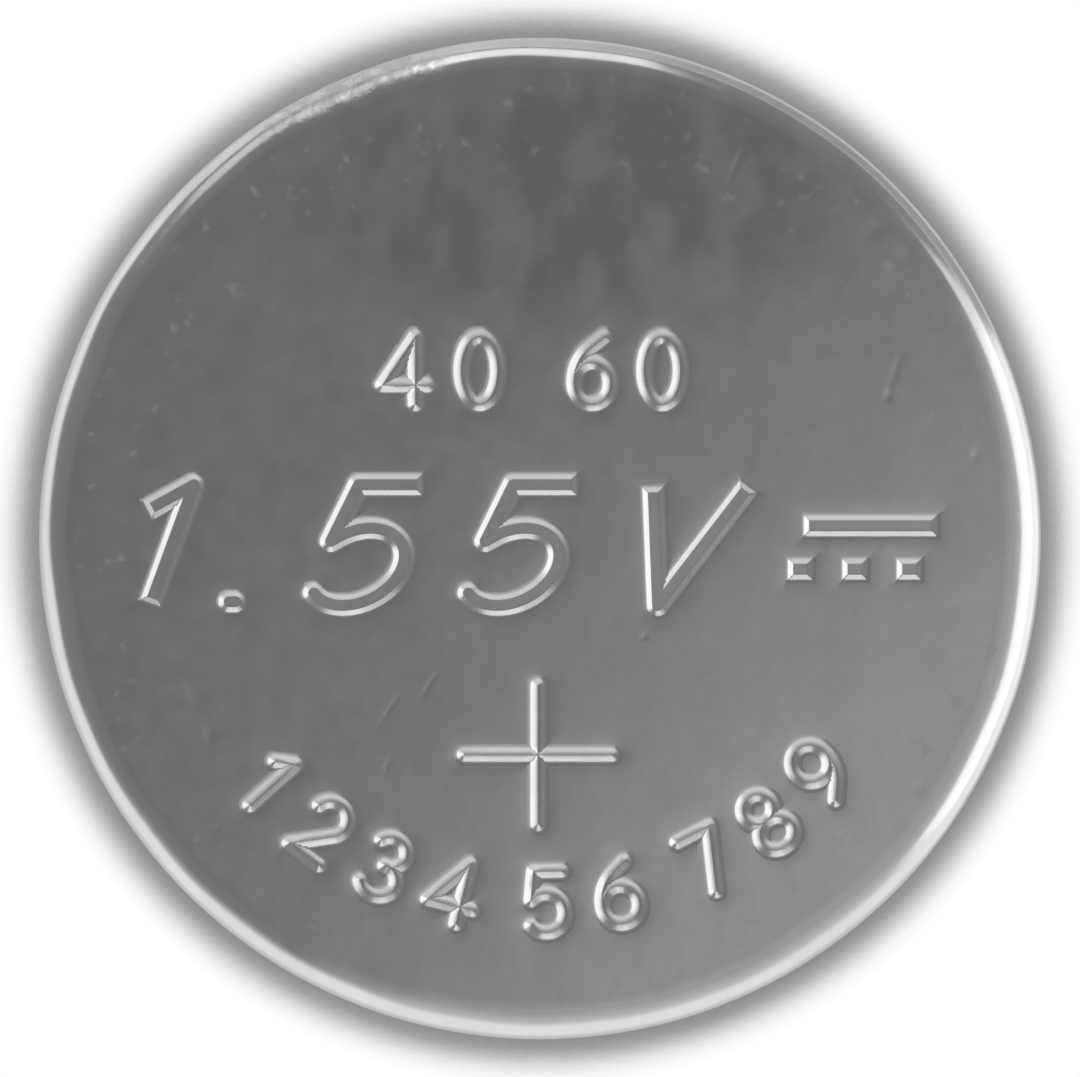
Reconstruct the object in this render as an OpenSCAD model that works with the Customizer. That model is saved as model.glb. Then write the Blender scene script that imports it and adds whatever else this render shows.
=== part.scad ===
// A button cell of the 11.6 by 5.4 mm size, standing on its negative cup with the positive face up.
// Every piece is turned about the Z axis, and the origin is the middle of the negative contact.
// Profiles are drawn with x as the radius and y as the height.

/* [Cell] */
// Diameter over the can
cell_d = 11.6; // [10.8:0.1:14]
// Height over the two contacts
cell_h = 5.4; // [5:0.1:6.6]

/* [Positive can] */
// Thickness of the can's sheet
can_t = 0.25; // [0.2:0.01:0.32]
// Outside radius between the face and the side
face_r = 0.4; // [0.35:0.05:0.8]
// Angle that the mouth is rolled in by, from upright
crimp_a = 62; // [50:1:80]

/* [Negative cup] */
// Thickness of the cup's sheet
cup_t = 0.2; // [0.15:0.01:0.25]
// Inside radius of the pressed bends
bend_r = 0.1; // [0.08:0.01:0.14]
// Outside radius round the negative contact
contact_r = 0.5; // [0.35:0.05:0.6]
// Height of the shoulder's centre, which the can's mouth is rolled about too
shoulder_z = 1.1; // [1.05:0.05:1.5]

/* [Gasket] */
// Thickness of the gasket round the cup
gasket_t = 0.35; // [0.25:0.01:0.42]
// Thickness of the lip inside the cup
lip_t = 0.4; // [0.3:0.05:0.6]
// Height of the lip inside the cup
lip_h = 0.6; // [0.4:0.05:0.8]
// Thickness of the lip at its tip
lip_tip_t = 0.15; // [0.1:0.05:0.3]
// Height that the lip tapers over
lip_taper_h = 0.3; // [0.1:0.05:0.4]

/* [Cathode] */
// Height of the pressed pellet
pellet_h = 1.6; // [1.2:0.05:1.95]
// Height of the sleeve round the pellet
sleeve_h = 1.0; // [0.8:0.05:1.1]
// Thickness of the sleeve's sheet
sleeve_t = 0.2; // [0.15:0.01:0.25]
// Width of the sleeve's flange
flange_w = 0.9; // [0.7:0.05:1.1]

/* [Separators] */
// Thickness of the barrier film
barrier_t = 0.15; // [0.1:0.01:0.2]
// Thickness of the absorbent disc
absorbent_t = 0.35; // [0.25:0.05:0.45]
// Gap between the barrier film and the can
barrier_gap = 0.05; // [0.02:0.01:0.1]

/* [Hidden] */
$fn = 180;

// Radii of the surfaces that nest in one another, from the outside inwards
can_r = cell_d / 2;
bore_r = can_r - can_t;
skirt_r = bore_r - gasket_t;
skirt_bore_r = skirt_r - cup_t;
lip_bore_r = skirt_bore_r - lip_t;

// The rolled mouth, the gasket under it and the cup's shoulder are arcs about one centre
shoulder_r = bend_r + cup_t;
seal_r = shoulder_r + gasket_t;
crimp_r = seal_r + can_t;
roll = [can_r - crimp_r, shoulder_z];

// Below the shoulder the cup steps in to a boss that carries the negative contact
step = [roll.x, roll.y - shoulder_r - bend_r];
boss_r = step.x - bend_r;
contact = [boss_r - contact_r, contact_r];

// Heights of the stack, from the positive face down
can_floor = cell_h - can_t;
pellet_z = can_floor - pellet_h;
barrier_z = pellet_z - barrier_t;
skirt_end = barrier_z - absorbent_t;

// The sleeve is an angle ring round the pellet's lower edge
sleeve_r = bore_r;
sleeve_bore_r = sleeve_r - sleeve_t;
flange_bore_r = sleeve_r - flange_w;
sleeve_bend = [sleeve_r - bend_r - sleeve_t, pellet_z + bend_r + sleeve_t];

steel = [0.74, 0.74, 0.75];
nylon = [0.88, 0.86, 0.80];

// A rectangle between two radii and two heights
module band(r0, r1, z0, z1) {
    polygon([[r0, z0], [r1, z0], [r1, z1], [r0, z1]]);
}

// A bend in sheet: the part between two radii about a centre, from angle a0 to a1, 90 degrees at most
module bend(centre, r_in, r_out, a0, a1) {
    reach = 2 * r_out;
    translate(centre) intersection() {
        difference() {
            circle(r_out);
            if (r_in > 0) circle(r_in);
        }
        polygon([[0, 0], for (a = [a0, (a0 + a1) / 2, a1]) reach * [cos(a), sin(a)]]);
    }
}

// Drawn can: flat face, side, and the mouth rolled in over the gasket
module positive_can() {
    corner = [can_r - face_r, cell_h - face_r];
    color(steel) rotate_extrude() {
        band(0, corner.x, can_floor, cell_h);
        bend(corner, face_r - can_t, face_r, 0, 90);
        band(bore_r, can_r, roll.y, corner.y);
        bend(roll, seal_r, crimp_r, -crimp_a, 0);
    }
}

// Pressed cup: the contact, a boss, a step out to the shoulder, and the skirt
module negative_cup() {
    color(steel) rotate_extrude() {
        band(0, contact.x, 0, cup_t);
        bend(contact, contact_r - cup_t, contact_r, -90, 0);
        band(boss_r - cup_t, boss_r, contact.y, step.y);
        bend(step, bend_r, bend_r + cup_t, 90, 180);
        bend(roll, bend_r, shoulder_r, -90, 0);
        band(skirt_bore_r, skirt_r, roll.y, skirt_end);
    }
}

// Section of the gasket's lip, tapered so that the cup slides on over it
module gasket_lip() {
    tip_z = skirt_end - lip_h;
    polygon([
        [lip_bore_r, skirt_end], [lip_bore_r, tip_z + lip_taper_h],
        [skirt_bore_r - lip_tip_t, tip_z], [skirt_bore_r, tip_z], [skirt_bore_r, skirt_end]
    ]);
}

// Moulded ring: a wall round the skirt, a base under its end, a lip inside it, and a foot in the step
module sealing_gasket() {
    color(nylon) rotate_extrude() {
        gasket_lip();
        band(lip_bore_r, bore_r, skirt_end, barrier_z);
        band(skirt_r, bore_r, roll.y, skirt_end);
        bend(roll, shoulder_r, seal_r, -90, 0);
        bend(step, 0, bend_r, 90, 180);
        band(boss_r, step.x, roll.y - seal_r, step.y);
    }
}

// Pressed angle ring that backs the gasket's base and guards the pellet's edge
module cathode_sleeve() {
    color([0.70, 0.70, 0.71]) rotate_extrude() {
        band(flange_bore_r, sleeve_bend.x, pellet_z, pellet_z + sleeve_t);
        bend(sleeve_bend, bend_r, bend_r + sleeve_t, -90, 0);
        band(sleeve_bore_r, sleeve_r, sleeve_bend.y, pellet_z + sleeve_h);
    }
}

// Pressed powder pellet: it fills the can down to the barrier film, less the sleeve
module cathode_pellet() {
    edge_r = face_r - can_t;
    color([0.20, 0.19, 0.19]) rotate_extrude() {
        band(0, flange_bore_r, pellet_z, pellet_z + sleeve_t);
        band(0, sleeve_bend.x, pellet_z + sleeve_t, sleeve_bend.y);
        bend(sleeve_bend, 0, bend_r, -90, 0);
        band(0, sleeve_bore_r, sleeve_bend.y, pellet_z + sleeve_h);
        band(0, bore_r, pellet_z + sleeve_h, can_floor - edge_r);
        band(0, bore_r - edge_r, can_floor - edge_r, can_floor);
        bend([bore_r - edge_r, can_floor - edge_r], 0, edge_r, 0, 90);
    }
}

// Film against the pellet and the sleeve's flange
module barrier_film() {
    color([0.93, 0.90, 0.78]) translate([0, 0, barrier_z])
        cylinder(r = bore_r - barrier_gap, h = barrier_t);
}

// Felted disc that sits in the gasket's base
module absorbent_disc() {
    color([0.94, 0.94, 0.92]) translate([0, 0, skirt_end])
        cylinder(r = lip_bore_r, h = absorbent_t);
}

// Gelled powder: it fills the cup and the gasket's lip
module zinc_anode() {
    color([0.48, 0.49, 0.51]) rotate_extrude() {
        band(0, contact.x, cup_t, contact.y);
        bend(contact, 0, contact_r - cup_t, -90, 0);
        difference() {
            band(0, roll.x, contact.y, roll.y);
            band(boss_r - cup_t, roll.x, contact.y, step.y);
            translate(step) circle(shoulder_r);
        }
        bend(roll, 0, bend_r, -90, 0);
        difference() {
            band(0, skirt_bore_r, roll.y, skirt_end);
            gasket_lip();
        }
    }
}

positive_can();
negative_cup();
sealing_gasket();
cathode_sleeve();
cathode_pellet();
barrier_film();
absorbent_disc();
zinc_anode();
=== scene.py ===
"""A button cell: drawn can with pressed marks, negative cup, gasket and sealed contents, on a plain stage.

Every piece but the can's face is a section carried round the Z axis. Sections are arrays of (radius, height)
rows that run clockwise, seen with the radius to the right and the height up, so that faces point outwards.
Lengths are in metres, and MM turns millimetres into them.
"""

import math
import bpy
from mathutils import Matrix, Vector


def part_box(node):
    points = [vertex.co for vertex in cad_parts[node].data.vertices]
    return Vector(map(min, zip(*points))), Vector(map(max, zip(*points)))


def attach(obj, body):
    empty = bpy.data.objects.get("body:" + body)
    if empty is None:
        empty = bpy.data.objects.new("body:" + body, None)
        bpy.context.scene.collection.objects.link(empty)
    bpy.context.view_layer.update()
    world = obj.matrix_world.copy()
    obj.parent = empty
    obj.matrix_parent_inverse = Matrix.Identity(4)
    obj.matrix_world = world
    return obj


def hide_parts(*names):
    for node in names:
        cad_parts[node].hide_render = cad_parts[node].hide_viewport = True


bl_info = {
    "name": "Button Cell",
    "version": (1, 0, 0),
    "blender": (4, 5, 0),
    "location": "3D View > Sidebar > Button Cell",
    "description": "Builds a button cell with pressed marks, its sealed contents and a plain stage",
    "category": "Add Mesh",
}

from typing import NamedTuple

import bpy
import numpy as np
from bpy.props import FloatProperty, FloatVectorProperty, IntProperty, PointerProperty, StringProperty
from mathutils import Vector
from mathutils.geometry import delaunay_2d_cdt
from numpy.linalg import norm

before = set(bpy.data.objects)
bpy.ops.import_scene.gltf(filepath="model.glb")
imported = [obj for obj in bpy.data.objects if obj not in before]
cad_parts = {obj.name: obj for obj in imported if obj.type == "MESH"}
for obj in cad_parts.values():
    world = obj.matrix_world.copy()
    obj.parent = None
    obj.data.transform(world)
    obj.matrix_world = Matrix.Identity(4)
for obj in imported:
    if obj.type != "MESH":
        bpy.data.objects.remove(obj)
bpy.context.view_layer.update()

MM = 0.001

# Radius of the first ring round a pole, and the radius that the marked face's triangles reach
POLE_R, FACE_R = 1.0 * MM, 5.1 * MM
# The scuffed band on the edge: its middle's radius in millimetres and its angle, and half the angle it takes
SCUFF_R, SCUFF_ANGLE, SCUFF_HALF = 5.6, math.radians(113.0), math.radians(13.0)
QUARTER_TURN = np.array([[0.0, 1.0], [-1.0, 0.0]])


# ---- sizes


def reach(cad_node):
    """Radius, lowest and highest height of a CAD node."""
    low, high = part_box(cad_node)
    return high.x, low.z, high.z


CAN, CUP, GASKET, SLEEVE, PELLET, BARRIER, ABSORBENT, ANODE = map(reach, (
    "positive_can", "negative_cup", "sealing_gasket", "cathode_sleeve", "cathode_pellet", "barrier_film",
    "absorbent_disc", "zinc_anode"))


def length(name, default, description):
    """A length property in metres."""
    return FloatProperty(name=name, description=description, default=default, precision=6, unit="LENGTH")


def angle(name, degrees, description):
    """An angle property, given in degrees and held in radians."""
    return FloatProperty(name=name, description=description, default=math.radians(degrees), subtype="ANGLE")


def share(name, default, description, most=1.0):
    """A property that is a share of something."""
    return FloatProperty(name=name, description=description, default=default, min=0.01, max=most)


def row(name, default, description):
    """A property that holds a row of figures."""
    return StringProperty(name=name, description=description, default=default)


def colour(name, default, description):
    """A colour property."""
    return FloatVectorProperty(name=name, description=description, default=default, subtype="COLOR",
                               size=3, min=0.0, max=1.0)


class CellSizes(bpy.types.PropertyGroup):
    """Radii, heights and bends of the cell's pieces."""

    can_r: length("Can radius", CAN[0], "Radius over the can's side")
    face_z: length("Face height", CAN[2], "Height of the positive face")
    mouth_z: length("Mouth height", CAN[1], "Lowest height of the rolled mouth")
    bore_r: length("Bore radius", GASKET[0], "Radius inside the can's side")
    skirt_r: length("Skirt radius", CUP[0], "Radius over the cup's skirt")
    skirt_bore_r: length("Skirt bore radius", ANODE[0], "Radius inside the cup's skirt")
    skirt_z: length("Skirt end height", CUP[2], "Height of the skirt's end")
    foot_z: length("Foot height", GASKET[1], "Height of the gasket's foot")
    barrier_z: length("Barrier height", BARRIER[1], "Height of the barrier film's underside")
    barrier_r: length("Barrier radius", BARRIER[0], "Radius of the barrier film")
    lip_bore_r: length("Lip bore radius", ABSORBENT[0], "Radius inside the gasket's lip")
    pellet_z: length("Pellet height", PELLET[1], "Height of the pellet's underside")
    can_floor_z: length("Can floor height", PELLET[2], "Height of the inside of the can's face")
    sleeve_z: length("Sleeve height", SLEEVE[2], "Height of the sleeve's upper end")
    face_edge_r: length("Face edge radius", 0.40 * MM, "Outside radius between the face and the side")
    bend_r: length("Bend radius", 0.10 * MM, "Inside radius of the pressed bends")
    contact_edge_r: length("Contact edge radius", 0.50 * MM, "Outside radius round the negative contact")
    mouth_edge_r: length("Mouth edge radius", 0.05 * MM, "Radius worn on the mouth's cut edge")
    sleeve_t: length("Sleeve thickness", 0.20 * MM, "Thickness of the sleeve's sheet")
    flange_w: length("Flange width", 0.90 * MM, "Width of the sleeve's flange")
    lip_h: length("Lip height", 0.60 * MM, "Height of the gasket's lip")
    lip_tip_t: length("Lip tip thickness", 0.15 * MM, "Thickness of the lip at its tip")
    lip_taper_h: length("Lip taper height", 0.30 * MM, "Height that the lip tapers over")
    columns: IntProperty(name="Columns", description="Faces round each turned piece", default=576, min=24)

    can_t = property(lambda s: s.can_r - s.bore_r)
    cup_t = property(lambda s: s.skirt_r - s.skirt_bore_r)
    lip_tip_z = property(lambda s: s.skirt_z - s.lip_h)
    shoulder_r = property(lambda s: s.bend_r + s.cup_t)
    seal_r = property(lambda s: s.shoulder_r + s.bore_r - s.skirt_r)
    crimp_r = property(lambda s: s.seal_r + s.can_t)
    # Centre that the mouth, the gasket and the cup's shoulder are bent about
    roll = property(lambda s: np.array([s.can_r - s.crimp_r, s.foot_z + s.seal_r]))
    # Angle that the mouth is rolled in by, in degrees below level
    crimp_a = property(lambda s: math.degrees(math.asin((s.roll[1] - s.mouth_z) / s.crimp_r)))
    # Centre of the hollow bend between the cup's shoulder and its boss
    step = property(lambda s: s.roll - np.array([0.0, s.shoulder_r + s.bend_r]))
    boss_r = property(lambda s: s.step[0] - s.bend_r)
    # Centre of the bend round the negative contact
    contact = property(lambda s: np.array([s.boss_r - s.contact_edge_r, s.contact_edge_r]))


class MarkSizes(bpy.types.PropertyGroup):
    """Sections and places of the marks pressed into the positive face."""

    groove_w: length("Groove width", 0.245 * MM, "Width of the narrow grooves")
    groove_d: length("Groove depth", 0.063 * MM, "Depth of the narrow grooves")
    recess_w: length("Recess width", 0.30 * MM, "Width of the large figures' strokes")
    recess_d: length("Recess depth", 0.0465 * MM, "Depth of the large figures")
    recess_wall_w: length("Recess wall width", 0.090 * MM, "Width of the large figures' sloping walls")
    brow: share("Brow rounding", 0.42, "Share of a wall's width that is rounded at its top", 0.5)
    root: share("Root rounding", 0.06, "Share of a wall's width that is rounded at its foot", 0.5)
    sink_w: length("Sink width", 0.16 * MM, "Width of metal drawn down beside a mark")
    sink_d: length("Sink depth", 0.002 * MM, "Depth of metal drawn down beside a mark")
    large_text: row("Large figures", "1.55V=", "Figures in the middle row")
    large_cap: length("Large cap height", 1.39 * MM, "Height of the large figures")
    large_y: length("Large baseline", -0.77 * MM, "Height of the middle row's baseline")
    large_slant: angle("Large slant", 20.0, "Slant of the large figures")
    small_text: row("Small figures", "40 60", "Figures in the upper row")
    small_cap: length("Small cap height", 0.78 * MM, "Height of the upper row's figures")
    small_y: length("Small baseline", 1.55 * MM, "Height of the upper row's baseline")
    arc_text: row("Arc figures", "1234 56 789", "Figures in the lower row")
    arc_cap: length("Arc cap height", 0.71 * MM, "Height of the lower row's figures")
    arc_r: length("Arc baseline radius", 4.54 * MM, "Radius of the lower row's baseline")
    arc_span: angle("Arc span", 98.5, "Angle between the lower row's first and last figures")
    arc_middle: angle("Arc middle", 271.0, "Angle that the lower row's middle stands at")
    plus_size: length("Plus size", 1.60 * MM, "Height of the plus sign")
    plus_y: length("Plus height", -2.49 * MM, "Height of the plus sign's middle")
    bend_step: length("Bend step", 0.010 * MM, "Spacing of points along the marks' sharp bends")
    fine_step: length("Fine step", 0.020 * MM, "Spacing of points on the marks")
    middle_step: length("Middle step", 0.07 * MM, "Spacing of points beside the marks")
    coarse_step: length("Coarse step", 0.24 * MM, "Spacing of points away from the marks")


class CellFinishes(bpy.types.PropertyGroup):
    """Colours and roughness of the cell's surfaces."""

    plate: colour("Plate", (0.745, 0.745, 0.745), "Nickel plate on the can and the cup")
    plate_worn: colour("Worn plate", (0.70, 0.70, 0.70), "Plate where it is dulled")
    plate_stained: colour("Stained plate", (0.55, 0.55, 0.55), "Plate under handling marks")
    plate_rough: share("Plate roughness", 0.19, "Roughness of the plate")
    nylon: colour("Nylon", (0.80, 0.77, 0.68), "Gasket")
    pellet: colour("Pellet", (0.045, 0.042, 0.040), "Pressed oxide and carbon powder")
    film: colour("Film", (0.78, 0.70, 0.48), "Barrier film")
    felt: colour("Felt", (0.86, 0.86, 0.82), "Absorbent felt")
    gel: colour("Gel", (0.20, 0.205, 0.215), "Gelled zinc powder")


class StageLooks(bpy.types.PropertyGroup):
    """Camera, floor and contact shadow."""

    lens: FloatProperty(name="Lens", description="Focal length in millimetres", default=180.0,
                        subtype="DISTANCE_CAMERA")
    fill: share("Fill", 0.927, "Cell's radius as a share of half the picture's width")
    floor: colour("Floor", (0.92, 0.92, 0.92), "Floor")
    halo: length("Contact shadow width", 1.37 * MM, "Reach of the contact shadow on the floor")


# ---- sections and meshes


def line(start, end, steps=1):
    """Points spaced evenly from start to end."""
    t = np.linspace(0.0, 1.0, steps + 1)[:, None]
    return (1 - t) * np.asarray(start, float) + t * np.asarray(end, float)


def bend(centre, radius, start, end, steps=8):
    """Points at a radius about a centre, from one angle to another in degrees.

    Two radii in place of one make an upright ellipse."""
    a = np.radians(np.linspace(start, end, steps + 1))
    return np.asarray(centre, float) + radius * np.stack([np.cos(a), np.sin(a)], axis=1)


def path(*parts):
    """Points and rows of points, one after another."""
    return np.concatenate([np.atleast_2d(np.asarray(part, float)) for part in parts])


def section(*parts):
    """A path, less each point that repeats the one before it."""
    points = path(*parts)
    moved = norm(np.diff(points, axis=0), axis=1) > 1e-9
    return points[np.concatenate([[True], moved])]


def ring_angles(columns):
    """Angles spaced evenly over a whole turn."""
    return np.arange(columns) / columns * 2 * np.pi


def around(r, a, z):
    """Places (r cos a, r sin a, z) for radii, angles and heights that make up a grid, in rows."""
    return np.stack(np.broadcast_arrays(r * np.cos(a), r * np.sin(a), z), axis=-1).reshape(-1, 3)


def turn(profile, columns):
    """Places of a section carried round Z."""
    return around(profile[:, :1], ring_angles(columns), profile[:, 1:])


def grid_faces(rows, columns, closed=False):
    """Corner numbers of the four-sided faces of a grid that closes round its columns.

    If closed, it closes round its rows too."""
    i = np.arange(rows if closed else rows - 1)[:, None]
    j = np.arange(columns)[None, :]
    below, beside = (i + 1) % rows, (j + 1) % columns
    corners = [i * columns + j, below * columns + j, below * columns + beside, i * columns + beside]
    return np.stack(np.broadcast_arrays(*corners), axis=-1).reshape(-1, 4)


def fan_faces(pole, ring, upper):
    """Three-sided faces between a point on the axis and a ring, wound for an upper or a lower cap."""
    pair = (ring, np.roll(ring, -1))
    return np.stack([np.full(len(ring), pole), *(pair if upper else pair[::-1])], axis=1)


def make_mesh(name, points, *face_sets):
    """A smooth mesh from an array of places and arrays of corner numbers."""
    mesh = bpy.data.meshes.new(name)
    corners = np.concatenate([f.ravel() for f in face_sets]).astype(np.int32)
    sizes = np.concatenate([np.full(len(f), f.shape[1]) for f in face_sets])
    starts = np.concatenate([[0], np.cumsum(sizes)[:-1]]).astype(np.int32)
    mesh.vertices.add(len(points))
    mesh.vertices.foreach_set("co", points.astype(np.float32).ravel())
    mesh.loops.add(len(corners))
    mesh.loops.foreach_set("vertex_index", corners)
    mesh.polygons.add(len(sizes))
    mesh.polygons.foreach_set("loop_start", starts)
    mesh.update(calc_edges=True)
    if mesh.validate():
        raise RuntimeError(f"{name} had faces that Blender dropped")
    mesh.shade_smooth()
    return mesh


def add_object(name, data):
    """A new object in the scene, at the origin."""
    made = bpy.data.objects.new(name, data)
    bpy.context.scene.collection.objects.link(made)
    return made


def add_piece(name, mesh, material, slot, cad_node):
    """Puts a mesh in the scene with its material, riding on the cell in place of its CAD node."""
    piece = add_object(name, mesh)
    mesh.materials.append(material)
    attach(piece, "root")
    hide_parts(cad_node)


def add_turned(name, profile, columns, *rest):
    """Adds a section carried round Z as a piece, with a fan about each pole if it starts on the axis."""
    if profile[0, 0] > 0:
        mesh = make_mesh(name, turn(profile, columns), grid_faces(len(profile), columns, closed=True))
    else:
        rows, ring = len(profile) - 2, np.arange(columns)
        count, poles = rows * columns, [[0, 0, profile[0, 1]], [0, 0, profile[-1, 1]]]
        mesh = make_mesh(name, np.concatenate([turn(profile[1:-1], columns), poles]),
                         grid_faces(rows, columns), fan_faces(count, ring, True),
                         fan_faces(count + 1, count - columns + ring, False))
    add_piece(name, mesh, *rest)


# ---- figures


def arc(cx, cy, rx, ry, start, end):
    """Points on an upright ellipse from one angle to another in degrees, one every 5 degrees or so."""
    return bend((cx, cy), (rx, ry), start, end, max(2, round(abs(end - start) / 5)))


# Each figure's width, and the parts of each of its centre lines, for a figure one unit high
FIGURES = {
    "0": (0.60, [[arc(0.30, 0.50, 0.30, 0.50, 0, 360)]]),
    "1": (0.34, [[(0.0, 0.78), (0.26, 1.0), (0.26, 0.0)]]),
    "2": (0.60, [[arc(0.30, 0.71, 0.29, 0.29, 165, -38), (0.0, 0.0), (0.60, 0.0)]]),
    "3": (0.58, [[arc(0.28, 0.76, 0.26, 0.24, 150, -90), arc(0.28, 0.27, 0.30, 0.27, 78, -150)]]),
    "4": (0.74, [[(0.54, 0.0), (0.54, 1.0), (0.0, 0.28), (0.74, 0.28)]]),
    "5": (0.60, [[(0.55, 1.0), (0.10, 1.0), (0.05, 0.53), arc(0.29, 0.32, 0.31, 0.32, 125, -142)]]),
    "6": (0.60, [[(0.50, 1.0), arc(0.60, 0.32, 0.60, 0.62, 125, 180)],
                 [arc(0.30, 0.31, 0.30, 0.31, 0, 360)]]),
    "7": (0.58, [[(0.0, 1.0), (0.58, 1.0), (0.20, 0.0)]]),
    "8": (0.58, [[arc(0.29, 0.76, 0.25, 0.24, -90, 270)], [arc(0.29, 0.26, 0.29, 0.26, 90, 450)]]),
    "9": (0.60, [[(0.10, 0.0), arc(0.0, 0.68, 0.60, 0.62, -55, 0)], [arc(0.30, 0.69, 0.30, 0.31, 0, 360)]]),
    "V": (0.66, [[(0.0, 1.0), (0.33, 0.0), (0.66, 1.0)]]),
    ".": (0.04, [[(0.0, 0.03), (0.04, 0.03)]]),
    "=": (0.94, [[(0.0, 0.66), (0.94, 0.66)], *([(x, 0.30), (x + 0.20, 0.30)] for x in (0.0, 0.37, 0.74))]),
    "+": (1.06, [[(0.0, 0.5), (1.06, 0.5)], [(0.53, 1.0), (0.53, 0.0)]]),
    " ": (0.15, []),
}

# Nicks in the face: place, length, width, direction in degrees and depth, in millimetres
NICKS = [
    (2.07, 4.72, 0.20, 0.06, 105, 0.0024), (2.26, 4.30, 0.40, 0.08, 68, 0.0016),
    (3.84, 3.54, 0.16, 0.11, 115, 0.0026), (4.22, 3.24, 0.10, 0.09, 60, 0.0022),
    (4.58, 2.50, 0.26, 0.08, 100, 0.0016), (4.09, 1.93, 0.36, 0.09, 72, 0.0009),
    (4.01, 1.64, 0.13, 0.10, 100, 0.0020), (5.02, 0.96, 0.12, 0.08, 80, 0.0020),
    (4.36, -2.86, 0.12, 0.08, 40, 0.0024), (1.20, -1.13, 0.08, 0.08, 0, 0.0014),
    (-2.99, 4.22, 0.16, 0.12, 60, 0.0022), (-2.38, 4.50, 0.14, 0.10, 45, 0.0022),
    (-1.40, 4.62, 0.12, 0.09, 100, 0.0020), (-4.62, 2.47, 0.18, 0.09, 100, 0.0014),
    (-1.27, -1.68, 0.32, 0.07, 60, 0.0009), (-1.72, -1.95, 0.34, 0.06, 55, 0.0009),
    (-1.76, -2.62, 0.20, 0.07, 70, 0.0008), (-3.98, -1.84, 0.40, 0.13, 118, 0.0022),
    (-3.80, -2.26, 0.24, 0.12, 105, 0.0020), (1.79, 4.93, 0.30, 0.06, 95, 0.0016),
]


def figure_lines(figure):
    """A figure's width and its centre lines."""
    width, lines = FIGURES[figure]
    return width, [path(*parts) for parts in lines]


def row_strokes(text, cap, base_y, gap=0.0, stretch=1.0, slant=0.0, middle_x=0.0):
    """Strokes of a straight row: each figure is scaled, leaned over by its height times tan(slant), and set
    beside the last with a gap that is a share of the height."""
    pen = -(sum(FIGURES[figure][0] for figure in text) + gap * (len(text) - 1)) / 2
    strokes = []
    for width, lines in map(figure_lines, text):
        for points in lines:
            x = (points[:, 0] + pen) * cap * stretch + (points[:, 1] - 0.5) * cap * math.tan(slant)
            strokes.append(np.stack([middle_x + x, base_y + points[:, 1] * cap], axis=1))
        pen += width + gap
    return strokes


def arc_strokes(text, cap, radius, span, middle):
    """Strokes of a row along the lower edge: each figure stands on the baseline circle with its top inwards,
    a whole place from the last, and a gap takes 0.3 of a place."""
    strokes = []
    places = np.cumsum([0.3 if figure == " " else 1.0 for figure in text])
    turns = middle + span * ((places - places[0]) / (places[-1] - places[0]) - 0.5)
    for turn_a, (width, lines) in zip(turns, map(figure_lines, text)):
        right = np.array([-math.sin(turn_a), math.cos(turn_a)])
        up = -np.array([math.cos(turn_a), math.sin(turn_a)])
        for points in lines:
            across, high = (points[:, :1] - width / 2) * cap, points[:, 1:] * cap
            strokes.append(-up * radius + across * right + high * up)
    return strokes


def stroke_ends(stroke):
    """Each end of a stroke with the direction from it into the stroke."""
    for end, other in ((stroke[0], stroke[1]), (stroke[-1], stroke[-2])):
        yield end, (other - end) / norm(other - end)


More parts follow.
